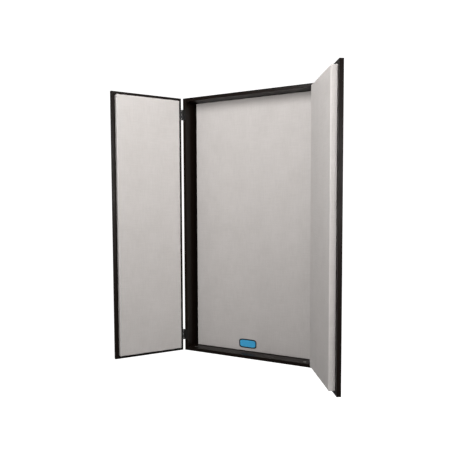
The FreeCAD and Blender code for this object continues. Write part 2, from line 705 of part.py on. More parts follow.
def door(side):
    """One door in its closed place, drawn about its hinge line: board, panel, clips and screws."""
    sign = SIDES[side]
    inner_face = -DOOR_JOINT / 2

    def across(start, stop):
        """X range from start to stop, measured from the door's hinge-side edge."""
        ends = (sign * (HINGE_OUT + start), sign * (HINGE_OUT + stop))
        return ends if sign > 0 else (ends[1], ends[0])

    hinge_margin = d.board + d.panel_play_side
    end_margin = d.board + d.panel_play_end
    left, right = across(hinge_margin, DOOR_WIDTH - d.free_margin)
    low, high = BOTTOM + end_margin, TOP - end_margin
    wrapped_panel(side + "_door", (left, low), (right, high), d.door_panel, inner_face, 1, side)

    middle_x = (left + right) / 2
    middle_z = (low + high) / 2
    reach = (high - low) / 2 - d.clip_inset
    places = [(middle_x, middle_z + step * reach) for step in (-1, -1 / 3, 1 / 3, 1)]
    group(side + "_door_clips",
          [copy_at(CLIP, (x, inner_face, z), INTO_DOOR) for x, z in places], side)
    seat = inner_face + d.clip_thick
    group(side + "_door_clip_screws",
          [copy_at(CLIP_SCREW, (x, seat, z), INTO_DOOR) for x, z in places], side)

    body = new_body(side + "_door_board")
    x_low, x_high = across(Size.of(0), DOOR_WIDTH)
    block(body, (x_low, inner_face - d.door_board, BOTTOM), (x_high, inner_face, TOP))
    ease(body, d.edge_ease)
    pocket(body, circles(body, "XZ_Plane", -inner_face, places, PILOT),
           CLIP_SCREW_LENGTH, True)
    column = sign * (HINGE_OUT + d.board / 2)
    pilots = [(column, level + step * d.hinge_screw_pitch)
              for level in HINGE_LEVELS.values() for step in LEAF_SCREWS]
    pocket(body, circles(body, "XZ_Plane", -inner_face, pilots, PILOT),
           HINGE_SCREW_LENGTH - d.leaf + d.bore_over, True)
    as_node(body, side + "_door_board", side)


def check_document():
    """Stops if any object failed, any cut cut nothing or any piece isn't a valid solid."""
    for item in DOC.Objects:
        if "Invalid" in item.State or "Error" in item.State:
            raise RuntimeError("{} failed: {}".format(item.Label, item.State))
    for cut in POCKETS:
        if cut.BaseFeature.Shape.Volume - cut.Shape.Volume < SMALLEST_CUT:
            raise RuntimeError(cut.Name + " cuts nothing")
    for item in NODES:
        if item.Shape.isNull() or not item.Shape.isValid() or not item.Shape.Solids:
            raise RuntimeError(item.Label + " has no valid solid")


def write_nodes():
    """Writes every piece to its own STEP file."""
    os.makedirs("parts", exist_ok=True)
    for item in NODES:
        solids = item.Shape.Solids
        shape = solids[0] if len(solids) == 1 else Part.makeCompound(solids)
        shape.exportStep("parts/{}.step".format(item.Label))
    print(len(NODES), "pieces written")


for side_name in SIDES:
    side_board(side_name)
end_board("bottom_board", BOTTOM, FLOOR, FLOOR, FLOOR)
end_board("top_board", CEILING, TOP, CEILING, TOP)
back_board_piece()
hanging_pieces()
corner_joints()
back_panel_pieces()
for side_name in SIDES:
    hinges(side_name)
    door(side_name)
DOC.recompute()
check_document()
write_nodes()
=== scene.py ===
"""Wall-hung vocal booth: cloth-wrapped panels, lacquered boards, fittings and the studio."""

import json
import math

import bpy
import numpy as np
from mathutils import Euler, Matrix, Vector


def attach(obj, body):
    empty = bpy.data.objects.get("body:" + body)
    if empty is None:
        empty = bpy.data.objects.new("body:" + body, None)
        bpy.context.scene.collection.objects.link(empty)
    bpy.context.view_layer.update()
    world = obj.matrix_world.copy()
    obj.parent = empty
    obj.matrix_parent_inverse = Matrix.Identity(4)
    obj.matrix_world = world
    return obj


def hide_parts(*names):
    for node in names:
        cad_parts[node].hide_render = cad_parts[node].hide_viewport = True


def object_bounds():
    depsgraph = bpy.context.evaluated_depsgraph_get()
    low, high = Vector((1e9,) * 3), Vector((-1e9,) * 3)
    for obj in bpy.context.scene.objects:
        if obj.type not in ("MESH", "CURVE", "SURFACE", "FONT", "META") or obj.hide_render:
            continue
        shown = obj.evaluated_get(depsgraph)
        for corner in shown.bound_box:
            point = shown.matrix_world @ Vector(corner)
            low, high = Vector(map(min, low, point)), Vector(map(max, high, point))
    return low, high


bl_info = {
    "name": "Vocal booth",
    "version": (1, 0, 0),
    "blender": (4, 5, 0),
    "location": "View3D > Sidebar > Booth",
    "description": "Wraps, lacquers and lights a wall-hung vocal booth round its CAD frame",
    "category": "Add Mesh",
}

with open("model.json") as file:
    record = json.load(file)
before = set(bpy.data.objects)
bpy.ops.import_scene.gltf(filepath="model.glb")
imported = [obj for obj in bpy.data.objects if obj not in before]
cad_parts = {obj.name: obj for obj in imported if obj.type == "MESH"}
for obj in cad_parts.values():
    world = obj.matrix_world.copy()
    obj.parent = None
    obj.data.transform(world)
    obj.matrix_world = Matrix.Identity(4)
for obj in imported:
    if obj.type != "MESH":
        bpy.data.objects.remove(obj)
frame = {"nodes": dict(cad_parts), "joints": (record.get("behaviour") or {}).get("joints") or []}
CAD_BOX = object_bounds()
NODES = frame["nodes"]
MM = 0.001

# Steps of the cloth's lattice across its roundings, as shares of their radii, then in from an
# edge, and its spacing beyond them.
CORNER_STEPS = np.array([0, 0.35, 0.7, 1.0])
BACK_STEPS = np.array([0, 0.5, 1.0])
FRONT_STEPS = np.array([1.0, 0.75, 0.5, 0.25, 0])
NEAR_STEPS = np.array([5, 6.5, 8, 9.5, 11, 12.5, 14, 17, 22, 28]) * MM
SPACING_X, SPACING_Z, SPACING_SIDES = 10 * MM, 11 * MM, 2.5 * MM

# Lengths of the slow waves in the cloth, and how far in from an edge its draw-in and its
# scallops die out.
WAVES = (0.43, 0.21, 0.12)
SAG_REACH, PULL_REACH = 9 * MM, 16 * MM
# Least and greatest distance between glue points, how far the scallops drift out of step with
# them, in radians, and how fast.
GLUE_PITCH = (48 * MM, 66 * MM)
DRIFT, DRIFT_RATE = 1.3, 9.0
# Softness of a pleat's fold, and the shares of the depth between which a pleat grows.
FOLD = 0.8 * MM
PLEAT_GROWTH = (0.05, 0.25)
# Where the painted edge highlight ends behind the face, and where it fades on it, in edge radii.
HIGHLIGHT_DEPTH, HIGHLIGHT_FADE = 2, (1.8, 0.6)
# Each panel's random numbers start from its own seed, this one and the next two.
FIRST_SEED = 11

# The badge's outline: a superellipse of this power, in this many points. Its profile: insets
# from the outline in millimetres, and heights as shares of its thickness. The profile's first
# bands, up to the inner foot of the raised rim, are the rim.
BADGE_POWER, BADGE_POINTS = 5, 96
BADGE_INSETS = np.array([0.0, 0.0, 0.2, 0.8, 4.2, 5.0, 5.4, 6.0, 8, 11, 15, 19])
BADGE_RISES = np.array([0, 0.55, 0.85, 1.0, 1.0, 0.85, 0.6, 0.55, 0.58, 0.62, 0.65, 0.66])
RIM_BANDS = 6

# Each softbox: its setting, its place from the middle of the booth's wall side, the height of
# its aim over the middle, and its width.
SOFTBOXES = {
    "key_softbox": ("key", (0.2, -1.4, 1.2), 0.0, 0.8),
    "fill_softbox": ("fill", (0.5, -2.4, 0.6), 0.6, 0.6),
    "side_softbox": ("side", (2.6, -1.6, 0.4), 0.0, 0.8),
    "rear_left_softbox": ("rear", (-2.2, 1.1, 0.7), 0.0, 0.8),
    "rear_right_softbox": ("rear", (2.2, 1.1, 0.7), 0.0, 0.8),
}
# The dome over the floor: its radius, its points round and up, and the two's own brightness.
DOME_RADIUS, DOME_ROUND, DOME_UP = 14.0, 72, 13
DOME_GLOW, FLOOR_GLOW = 1.0, 0.97
WHITE = (1.0, 1.0, 1.0, 1.0)
STILL = Matrix.Identity(4)


def linear(hex_colour):
    """An sRGB hex colour, such as "d0ccc8", as linear RGBA."""
    channels = np.array([int(hex_colour[i:i + 2], 16) for i in (0, 2, 4)]) / 255
    dark = channels / 12.92
    light = ((channels + 0.055) / 1.055) ** 2.4
    return (*(float(c) for c in np.where(channels <= 0.04045, dark, light)), 1.0)


def colour(name, hex_colour, description):
    return bpy.props.FloatVectorProperty(
        name=name, description=description, default=linear(hex_colour), size=4,
        subtype="COLOR", min=0.0, max=1.0)


def length(name, millimetres, description):
    return bpy.props.FloatProperty(
        name=name, description=description, default=millimetres * MM,
        subtype="DISTANCE", unit="LENGTH", min=0.0, precision=4)


def share(name, default, description):
    return bpy.props.FloatProperty(
        name=name, description=description, default=default, min=0.0, max=1.0,
        subtype="FACTOR")


def power(name, watts, description):
    return bpy.props.FloatProperty(
        name=name, description=description, default=watts, min=0.0, subtype="POWER", unit="POWER")


def rotation(name, degrees, description):
    return bpy.props.FloatProperty(
        name=name, description=description, default=math.radians(degrees),
        subtype="ANGLE", unit="ROTATION")


# ---------------------------------------------------------------- settings

class BoothClothSettings(bpy.types.PropertyGroup):
    """The acoustic cloth, how it sits on the panels, and the wool behind it."""
    base: colour("Cloth", "c9c4c1", "Colour of the acoustic cloth")
    shade: colour("Thread shade", "b5b0ac", "Colour between the threads and in the thin slubs")
    # Painted highlight: a lighter cloth colour laid along the panels' edges and corners, where
    # they catch the light.
    taut: colour("Taut cloth", "cdc8c5", "Colour where the cloth is stretched over an edge")
    thread: length("Thread spacing", 1.1, "Distance from one thread to the next")
    slub: length("Slub width", 5.0, "Width of the faint thick and thin streaks")
    edge: length("Edge radius", 3.0, "Rounding of the panel's front edges under the cloth")
    corner: length("Corner radius", 2.5, "Rounding of the panel's corners, seen from the front")
    back_edge: length("Back edge radius", 1.5, "Rounding where the cloth turns behind the panel")
    sag: length("Edge draw-in", 0.7, "How far the cloth draws the face in along its edges")
    pull: length("Pull marks", 0.16, "Height of the soft scallops between the glue points")
    wave: length("Waviness", 0.16, "Height of the face's slow unevenness")
    pleat: length("Corner pleat", 13.0, "Width of the folded pleat at each corner")
    pleat_step: length("Pleat step", 0.6, "Thickness of the extra cloth in a pleat")
    hem: length("Hem", 35.0, "Width of the cloth glued behind the panel")
    wool: colour("Glass wool", "d9bd6a", "Colour of the wool's light fibres")
    wool_dark: colour("Glass wool shade", "b8923a", "Colour of the wool's dark fibres")
    cloth: length("Cloth thickness", 0.6, "Thickness of the cloth")


class BoothBoardSettings(bpy.types.PropertyGroup):
    """The lacquered boards, the back board, the hanging cleats and the dowels."""
    lacquer: colour("Lacquer", "150e0a", "Colour of the satin black lacquer")
    worn: colour("Worn edge", "2e241d", "Colour where handling has thinned the lacquer")
    wear: length("Edge wear", 0.9, "How far the wear reaches from an edge")
    gloss: share("Lacquer roughness", 0.34, "Roughness of the lacquer, 0 is a mirror")
    stipple: length("Roller stipple", 1.6, "Spacing of the roller marks in the lacquer")
    hardboard: colour("Hardboard", "63452c", "Colour of the back board")
    birch: colour("Birch", "d6b98f", "Colour of the cleats' light plies")
    birch_dark: colour("Birch end grain", "a97c50", "Colour of the cleats' dark plies")
    ply: length("Ply", 1.45, "Thickness of one ply of the cleats")
    beech: colour("Beech", "cfa374", "Colour of the dowels")
    beech_dark: colour("Beech grain", "a9794c", "Colour of the dowels' dark grain")


class BoothFittingSettings(bpy.types.PropertyGroup):
    """Hinges, screws, cam locks, clips and the blank badge."""
    powder: colour("Powder coat", "191817", "Colour of the black hinges and their screws")
    grit: length("Powder grain", 0.9, "Spacing of the powder coat's orange peel")
    zinc: colour("Zinc", "b3b1ac", "Colour of the cast cam locks")
    bright: colour("Bright zinc", "c2c5c7", "Colour of the plated screws and clips")
    badge: colour("Badge", "4ab9ee", "Colour of the blank badge")
    badge_rim: colour("Badge rim", "1c2228", "Colour of the badge's raised rim")


class BoothStageSettings(bpy.types.PropertyGroup):
    """Camera, floor and lamps."""
    floor_drop: length("Floor", 870.0, "Height of the cabinet's lower edge over the floor")
    floor: colour("Floor colour", "f4f3f1", "Colour of the pale floor")
    ambient: bpy.props.FloatProperty(
        name="Room light", default=0.15, min=0.0, description="Brightness of the even room light")
    key: power("Key softbox", 17.3, "Power of the softbox high in front")
    fill: power("Fill softbox", 20.6, "Power of the softbox beside the camera")
    side: power("Side softbox", 19.4, "Power of the softbox on the right")
    rear: power("Rear softboxes", 14.0, "Power of each of the two softboxes behind the booth")
    eye: bpy.props.FloatVectorProperty(
        name="Camera place", default=(1.059, -2.196, -0.4491), subtype="TRANSLATION",
        unit="LENGTH", description="Where the camera stands")
    yaw: rotation("Camera turn", 25.997, "Turn of the camera to the left, from straight on")
    pitch: rotation("Camera dip", 3.256, "How far the camera looks down")
    roll: rotation("Camera roll", 0.067, "Tilt of the camera about its line of sight")
    lens: bpy.props.FloatProperty(
        name="Lens", default=38.97, min=1.0, unit="CAMERA", description="Focal length")
    shift: bpy.props.FloatVectorProperty(
        name="Lens shift", default=(-0.0614, 0.0268), size=2,
        description="Sideways and upward shift of the lens, as shares of the frame")


# ---------------------------------------------------------------- shader nodes

def add(tree, kind, inputs=None, out=0, **settings):
    """Adds one node with its settings; inputs gives sockets values or links. Returns an output."""
    made = tree.nodes.new("ShaderNode" + kind)
    for name, value in settings.items():
        setattr(made, name, value)
    for socket, value in (inputs or {}).items():
        if isinstance(value, bpy.types.NodeSocket):
            tree.links.new(value, made.inputs[socket])
        else:
            made.inputs[socket].default_value = value
    return made.outputs[out] if made.outputs else made


def new_material(name):
    """An empty material and its node tree."""
    material = bpy.data.materials.new(name)
    material.use_nodes = True
    material.node_tree.nodes.clear()
    return material, material.node_tree


def surface(tree, **sockets):
    """Ends a material in a Principled shader; underscores in socket names stand for spaces."""
    names = {name.replace("_", " "): value for name, value in sockets.items()}
    shader = add(tree, "BsdfPrincipled", names)
    add(tree, "OutputMaterial", {"Surface": shader})


def blend_colours(tree, factor, low, high):
    return add(tree, "Mix", {0: factor, 6: low, 7: high}, out=2, data_type="RGBA")


def blend_values(tree, factor, low, high):
    return add(tree, "Mix", {0: factor, 2: low, 3: high}, data_type="FLOAT")


def maths(tree, operation, *values, **settings):
    """One Math node on up to three values."""
    return add(tree, "Math", dict(enumerate(values)), operation=operation, **settings)


def remap(tree, value, source, target):
    """Takes a value from one span to another, and holds it to the second."""
    return add(tree, "MapRange", {0: value, 1: source[0], 2: source[1],
                                  3: target[0], 4: target[1]})


def noise(tree, place, scale, detail, roughness=0.5, distortion=0.0, **settings):
    return add(tree, "TexNoise", {"Vector": place, "Scale": scale, "Detail": detail,
                                  "Roughness": roughness, "Distortion": distortion}, **settings)


def stretch(tree, place, scale, shift=(0.0, 0.0, 0.0)):
    """A place scaled along its three directions, and shifted."""
    return add(tree, "Mapping", {0: place, 1: shift, 3: scale})


def relief(tree, height, strength, distance):
    return add(tree, "Bump", {"Height": height, "Strength": strength, "Distance": distance})


def parts_of(tree, vector):
    """The X, Y and Z of a vector."""
    return add(tree, "SeparateXYZ", {0: vector}).node.outputs


def darker(tint, share_left):
    return tuple(share_left * c for c in tint[:3]) + (1.0,)


def paint(objects, material):
    """Gives objects one material in place of those that they came with."""
    for item in objects:
        item.data.materials.clear()
        item.data.materials.append(material)


# ---------------------------------------------------------------- places

def closed_turn(side):
    """The turn, about its hinge line, that takes a door from where it stands to closed."""
    joint = next(j for j in frame["joints"] if j["name"] == side + "_door_hinge")
    pivot = Matrix.Translation(Vector(joint["pos_m"]))
    angle = math.radians(joint["range_deg"][0])
    return pivot @ Matrix.Rotation(angle, 4, Vector(joint["axis"])) @ pivot.inverted()


def box_when(node, turn):
    """Lowest and highest corner of a CAD node after a turn, as two arrays."""
    mesh = NODES[node].data
    points = np.empty(len(mesh.vertices) * 3, np.float32)
    mesh.vertices.foreach_get("co", points)
    matrix = np.array(turn)
    points = points.reshape(-1, 3) @ matrix[:3, :3].T + matrix[:3, 3]
    return points.min(0), points.max(0)


# ---------------------------------------------------------------- mesh building

def mesh_piece(name, points, faces, uv=None, smooth=True):
    """A mesh object from an array of points and of quads, with an optional UV per face corner."""
    mesh = bpy.data.meshes.new(name)
    mesh.from_pydata(points, [], faces)
    if uv is not None:
        mesh.uv_layers.new(name="weave").data.foreach_set("uv", uv.astype(np.float32).ravel())
    mesh.polygons.foreach_set("use_smooth", np.full(len(mesh.polygons), smooth))
    mesh.update()
    piece = bpy.data.objects.new(name, mesh)
    bpy.context.scene.collection.objects.link(piece)
    return piece


def lines_across(half, steps, spacing):
    """Grid lines from -half to half: the given distances from each end, then evenly spaced."""
    steps = np.array(steps)
    count = max(2, int(round((half - steps[-1]) * 2 / spacing)) + 1)
    middle = np.linspace(-half + steps[-1], half - steps[-1], count)[1:-1]
    return np.concatenate([-half + steps, middle, (half - steps)[::-1]])


def rings_to_faces(rings, count):
    """Quads between rings of count points each, the first ring outermost, and an end cap."""
    ring, spot = np.meshgrid(np.arange(rings - 1), np.arange(count), indexing="ij")
    following = (spot + 1) % count
    quads = np.stack([ring * count + spot, (ring + 1) * count + spot,
                      (ring + 1) * count + following, ring * count + following], -1)
    last = (rings - 1) * count
    return quads.reshape(-1, 4).tolist() + [list(range(last + count - 1, last - 1, -1))]


def smooth_step(low, high, value):
    """0 below low, 1 above high, and an S curve between them."""
    part = np.clip((value - low) / (high - low), 0, 1)
    return part * part * (3 - 2 * part)


class Wrap:
    """Cloth drawn over a board: a box skin, open behind, worked out on a lattice.

    Every point starts on a plain box. Within an edge's radius of two or three faces it is
    pulled onto an ellipse: its offset from the inner box, as shares of the radii, is scaled
    from a cube's distance to a ball's. The relief is then added along the outward direction.
    """

    def __init__(self, cloth, half_x, half_z, thick, seed):
        self.cloth = cloth
        self.half = np.array([half_x, thick, half_z])
        self.random = np.random.default_rng(seed)
        steps = np.concatenate([CORNER_STEPS * cloth.corner, NEAR_STEPS, [cloth.hem]])
        self.x = lines_across(half_x, steps, SPACING_X)
        self.z = lines_across(half_z, steps, SPACING_Z)
        back = BACK_STEPS * cloth.back_edge
        front = thick - FRONT_STEPS * cloth.edge
        count = max(3, int(round((front[0] - back[-1]) / SPACING_SIDES)))
        sides = np.linspace(back[-1], front[0], count)[1:-1]
        self.y = np.concatenate([back, sides, front])

    def faces(self):
        """The lattice's quads, and what each face of the box unrolls to for the weave's UV."""
        nx, ny, nz = len(self.x), len(self.y), len(self.z)
        x_hem = np.flatnonzero(np.abs(self.x) >= self.half[0] - self.cloth.hem - 1e-6)
        z_hem = np.flatnonzero(np.abs(self.z) >= self.half[2] - self.cloth.hem - 1e-6)

        def quads(fixed_axis, index, flip, keep=None):
            sizes = [nx, ny, nz]
            free = [axis for axis in range(3) if axis != fixed_axis]
            a, b = np.meshgrid(np.arange(sizes[free[0]] - 1), np.arange(sizes[free[1]] - 1),
                               indexing="ij")
            a, b = a.ravel(), b.ravel()
            if keep is not None:
                chosen = keep(a, b)
                a, b = a[chosen], b[chosen]
            ring = ((a, b), (a + 1, b), (a + 1, b + 1), (a, b + 1))
            if flip:
                ring = ring[::-1]
            corners = np.empty((len(a), 4, 3), int)
            for corner, pair in enumerate(ring):
                corners[:, corner, fixed_axis] = index
                corners[:, corner, free[0]] = pair[0]
                corners[:, corner, free[1]] = pair[1]
            return corners

        def in_hem(a, b):
            def both(hem, i):
                return np.isin(i, hem) & np.isin(i + 1, hem)
            return both(x_hem, a) | both(z_hem, b)

        return {
            "front": quads(1, ny - 1, True),
            "back": quads(1, 0, False, in_hem),
            "left": quads(0, 0, True),
            "right": quads(0, nx - 1, False),
            "bottom": quads(2, 0, True),
            "top": quads(2, nz - 1, False),
        }

    def weave_uv(self, face, box):
        """The cloth's own two measures, in metres, unrolled from the front over the edges."""
        x, y, z = box[..., 0], box[..., 1], box[..., 2]
        drop = self.half[1] - y
        across = {"left": -self.half[0] - drop, "right": self.half[0] + drop}.get(face, x)
        up = {"bottom": -self.half[2] - drop, "top": self.half[2] + drop}.get(face, z)
        return np.stack([across, up], -1)

    def rounded(self, box):
        """Pulls the box's edges and corners onto their radii."""
        cloth = self.cloth
        x, y, z = box.T
        shares = np.stack([
            np.sign(x) * np.clip((np.abs(x) - self.half[0]) / cloth.corner + 1, 0, 1),
            np.clip((y - self.half[1]) / cloth.edge + 1, 0, 1)
            - np.clip(1 - y / cloth.back_edge, 0, 1),
            np.sign(z) * np.clip((np.abs(z) - self.half[2]) / cloth.corner + 1, 0, 1),
        ], 1)
        radii = np.stack([
            np.full(len(x), cloth.corner),
            np.where(shares[:, 1] > 0, cloth.edge, cloth.back_edge),
            np.full(len(x), cloth.corner),
        ], 1)
        far = np.linalg.norm(shares, axis=1)
        scale = np.abs(shares).max(1) / np.maximum(far, 1e-9)
        outward = shares / np.maximum(far, 1e-9)[:, None]
        return box - shares * radii + shares * scale[:, None] * radii, outward

    def relief(self, box):
        """How far the cloth stands out of the plain box, along its outward direction.

        The face is drawn in near its edges, has slow waves in both directions, and soft
        scallops that die out away from the edges. A pleat is one more layer on the top and
        bottom sides, a triangle that widens from nothing at the face to its full width behind.
        """
        cloth = self.cloth
        x, y, z = box.T
        to_side = self.half[0] - np.abs(x)
        to_end = self.half[2] - np.abs(z)
        to_edge = np.minimum(to_side, to_end)
        on_face = smooth_step(self.half[1] - cloth.edge, self.half[1], y)
        height = -cloth.sag * np.exp(-to_edge / SAG_REACH) * on_face
        for reach in WAVES:
            turn_x, turn_z, start = self.random.uniform((-1, -1, 0), (1, 1, math.tau))
            wave = np.sin(math.tau * (x * turn_x + z * turn_z) / reach + start)
            height += cloth.wave * reach / WAVES[0] * wave * on_face
        for along, inward in ((z, to_side), (x, to_end)):
            pitch, start = self.random.uniform((GLUE_PITCH[0], 0), (GLUE_PITCH[1], math.tau))
            drift = DRIFT * np.sin(along * DRIFT_RATE)
            scallop = np.sin(math.tau * along / pitch + start + drift)
            height += cloth.pull * scallop * np.exp(-inward / PULL_REACH)
        share_behind = 1 - y / self.half[1]
        edge_of_pleat = cloth.pleat * share_behind
        pleat = smooth_step(-FOLD, FOLD, edge_of_pleat - to_side)
        on_end = smooth_step(cloth.corner, 0, to_end) * smooth_step(*PLEAT_GROWTH, share_behind)
        return height + cloth.pleat_step * pleat * on_end

    def highlight_share(self, box):
        """Share of the painted highlight: 1 on the face's edges and corners, falling to 0 a few
        millimetres into the face.
        """
        x, y, z = box.T
        edge = self.cloth.edge
        to_edge = np.minimum(self.half[0] - np.abs(x), self.half[2] - np.abs(z))
        on_face = smooth_step(self.half[1] - HIGHLIGHT_DEPTH * edge, self.half[1], y)
        return smooth_step(HIGHLIGHT_FADE[0] * edge, HIGHLIGHT_FADE[1] * edge, to_edge) * on_face

    def build(self, name):
        """The finished skin in its own measures: X across, Y from board to face, Z up."""
        corners = self.faces()
        every = np.concatenate(list(corners.values()))
        flat = (every[..., 0] * len(self.y) + every[..., 1]) * len(self.z) + every[..., 2]
        used, quads = np.unique(flat, return_inverse=True)
        index_x, rest = np.divmod(used, len(self.y) * len(self.z))
        index_y, index_z = np.divmod(rest, len(self.z))
        box = np.stack([self.x[index_x], self.y[index_y], self.z[index_z]], 1)
        points, outward = self.rounded(box)
        points += outward * self.relief(box)[:, None]
        uv = [self.weave_uv(face, np.stack([self.x[c[..., 0]], self.y[c[..., 1]],
                                            self.z[c[..., 2]]], -1))
              for face, c in corners.items()]
        piece = mesh_piece(name, points, quads.reshape(-1, 4),
                           np.concatenate(uv).reshape(-1, 2))
        # The painted highlight's share at each point, kept for the cloth's material.
        taut = piece.data.attributes.new("taut", "FLOAT", "POINT")
        taut.data.foreach_set("value", self.highlight_share(box).astype(np.float32))
        return piece


def thicken(piece, thickness):
    """Gives the cloth its thickness, inwards from its face."""
    solid = piece.modifiers.new("cloth", "SOLIDIFY")
    solid.thickness = thickness
    solid.offset = -1
    return piece


# ---------------------------------------------------------------- materials

def woven_polyester(cloth):
    """Piece-dyed polyester acoustic cloth, plain woven: matt, warm light grey, faintly streaked.

    The threads are a real plain weave in relief. The slubs are drawn coarser than real ones,
    so that a little of their streaks still shows from across a room. Along the panels' edges
    and corners the colour is lightened into a painted highlight.
    """
    material, tree = new_material("woven_polyester_cloth")
    place = add(tree, "UVMap", uv_map="weave")
    across, along, _ = parts_of(tree, place)

    def thread(measure):
        """Height of the threads that lie side by side along a measure, and their number."""
        turns = maths(tree, "DIVIDE", measure, cloth.thread)
        angle = maths(tree, "MULTIPLY", maths(tree, "FRACT", turns), math.pi)
        return maths(tree, "SINE", angle), maths(tree, "FLOOR", turns)

    warp, warp_number = thread(across)
    weft, weft_number = thread(along)
    over = maths(tree, "FLOORED_MODULO", maths(tree, "ADD", warp_number, weft_number), 2.0)
    height = blend_values(tree, over, warp, weft)

    def streaks(wide, tall, seed):
        """Soft noise stretched into streaks of the given width and height."""
        scaled = stretch(tree, place, (1 / wide, 1 / tall, 1.0), (seed, seed, 0.0))
        return noise(tree, scaled, 1.0, 3.0, 0.6, noise_dimensions="2D")

    warp_slub = streaks(cloth.slub, cloth.slub * 12, 3.1)
    weft_slub = streaks(cloth.slub * 14, cloth.slub * 0.8, 7.7)
    cloud = streaks(90 * MM, 130 * MM, 1.7)
    slub = maths(tree, "ADD", warp_slub, weft_slub)
    tone = remap(tree, maths(tree, "ADD", slub, cloud), (1.15, 1.85), (0.0, 0.4))
    gap = remap(tree, height, (0.0, 0.6), (0.35, 0.0))
    dark = maths(tree, "ADD", tone, gap, use_clamp=True)
    weave_colour = blend_colours(tree, dark, cloth.base, cloth.shade)
    # Painted highlight: the woven colour is lightened towards the highlight colour along the
    # panels' edges and corners.
    taut = add(tree, "Attribute", out="Fac", attribute_name="taut")
    surface(tree, Base_Color=blend_colours(tree, taut, weave_colour, cloth.taut),
            Roughness=remap(tree, height, (0.0, 1.0), (0.96, 0.86)),
            Normal=relief(tree, maths(tree, "ADD", slub, height), 0.35, 0.22 * MM),
            Sheen_Weight=0.12, Sheen_Roughness=0.5, Specular_IOR_Level=0.25)
    return material


def edge_distance(tree, low, high, turn):
    """Distance of a surface point from the nearest edge of a turned board.

    In the board's own closed place the distances to its three pairs of faces are found, and
    the middle one of the three is the distance to the nearest edge.
    """
    middle = (low + high) / 2
    half = (high - low) / 2
    shift = turn.to_translation() - Vector(middle.tolist())
    place = add(tree, "TexCoord", out="Object")
    own = add(tree, "Mapping", {0: place, 1: shift, 2: turn.to_euler()})
    size = add(tree, "VectorMath", {0: own}, operation="ABSOLUTE")
    inside = add(tree, "VectorMath", {0: half.tolist(), 1: size}, operation="SUBTRACT")
    x, y, z = parts_of(tree, inside)
    least = maths(tree, "MINIMUM", x, y)
    most = maths(tree, "MAXIMUM", x, y)
    return maths(tree, "MAXIMUM", least, maths(tree, "MINIMUM", most, z))


def satin_lacquer(boards, node, turn):
    """Rolled black lacquer on fibreboard: satin, with a faint stipple and thinned edges."""
    material, tree = new_material("satin_lacquer_" + node)
    place = add(tree, "TexCoord", out="Object")
    stipple = noise(tree, place, 1 / boards.stipple, 2.0)
    patches = noise(tree, place, 9.0, 4.0, 0.6)
    chips = noise(tree, place, 120.0, 3.0, 0.7)
    edge = edge_distance(tree, *box_when(node, turn), turn)
    reach = remap(tree, chips, (0.35, 0.75), (0.0, boards.wear))
    nearness = maths(tree, "SUBTRACT", reach, edge)
    worn = remap(tree, nearness, (0.0, 0.4 * MM), (0.0, 0.75))
    rough = remap(tree, patches, (0.3, 0.7), (boards.gloss - 0.05, boards.gloss + 0.08))
    surface(tree, Base_Color=blend_colours(tree, worn, boards.lacquer, boards.worn),
            Roughness=maths(tree, "MULTIPLY_ADD", worn, 0.25, rough),
            Normal=relief(tree, stipple, 0.25, 0.05 * MM), IOR=1.5, Specular_IOR_Level=0.16)
    return material


def tempered_hardboard(boards):
    """Wet-pressed hardboard: smooth, deep brown, with a mottle of darker fibres."""
    material, tree = new_material("tempered_hardboard")
    place = add(tree, "TexCoord", out="Object")
    fibres = noise(tree, place, 420.0, 5.0, 0.75, 0.6)
    cloud = noise(tree, place, 14.0, 3.0)
    both = maths(tree, "MULTIPLY_ADD", fibres, 0.6, cloud)
    factor = remap(tree, both, (0.55, 1.05), (0.0, 1.0))
    dark = darker(boards.hardboard, 0.55)
    surface(tree, Base_Color=blend_colours(tree, factor, dark, boards.hardboard),
            Roughness=remap(tree, cloud, (0.3, 0.7), (0.42, 0.6)),
            Normal=relief(tree, fibres, 0.2, 0.08 * MM), IOR=1.5)
    return material


def birch_plywood(boards):
    """Sawn birch plywood: pale long grain on the faces, dark plies between on edges and bevels."""
    material, tree = new_material("birch_plywood")
    place = add(tree, "TexCoord", out="Object")
    depth = parts_of(tree, place)[1]
    # Half a ply is added, so that the outer faces lie inside a ply and not between two.
    layer = maths(tree, "MULTIPLY_ADD", depth, 1 / boards.ply, 0.5)
    crossed = maths(tree, "FLOORED_MODULO", maths(tree, "FLOOR", layer), 2.0)

    def grain(scale):
        """Growth lines: noise drawn out along the grain, and bent a little."""
        return noise(tree, stretch(tree, place, scale), 1.0, 5.0, 0.65, 0.4)

    lines = blend_values(tree, crossed, grain((9.0, 220.0, 260.0)), grain((260.0, 220.0, 9.0)))
    ply_tone = remap(tree, crossed, (0.0, 1.0), (0.0, 0.45))
    line_tone = remap(tree, lines, (0.4, 0.72), (0.0, 0.55))
    factor = maths(tree, "ADD", ply_tone, line_tone, use_clamp=True)
    surface(tree, Base_Color=blend_colours(tree, factor, boards.birch, boards.birch_dark),
            Roughness=remap(tree, lines, (0.0, 1.0), (0.62, 0.8)),
            Normal=relief(tree, lines, 0.35, 0.12 * MM), IOR=1.5)
    return material


def speckled(name, low, high, spacing, metallic, rough, depth, squeeze=(1.0, 1.0, 1.0)):
    """A finish with one fine pattern in its colour, roughness and relief.

    low and high are its two colours, and rough its two roughnesses. spacing is the distance
    from one grain to the next and depth their height. squeeze packs the grains closer, or with
    less than 1 draws them out, along each direction.
    """
    material, tree = new_material(name)
    place = add(tree, "TexCoord", out="Object")
    grain = noise(tree, stretch(tree, place, squeeze), 1 / spacing, 4.0, 0.6)
    cloud = noise(tree, place, 0.08 / spacing, 2.0)
    both = maths(tree, "MULTIPLY_ADD", grain, 0.5, cloud)
    factor = remap(tree, both, (0.5, 1.0), (0.0, 1.0))
    surface(tree, Base_Color=blend_colours(tree, factor, low, high),
            Roughness=remap(tree, both, (0.5, 1.0), rough),
            Normal=relief(tree, grain, 0.4, depth), Metallic=metallic)
    return material


# ---------------------------------------------------------------- operators

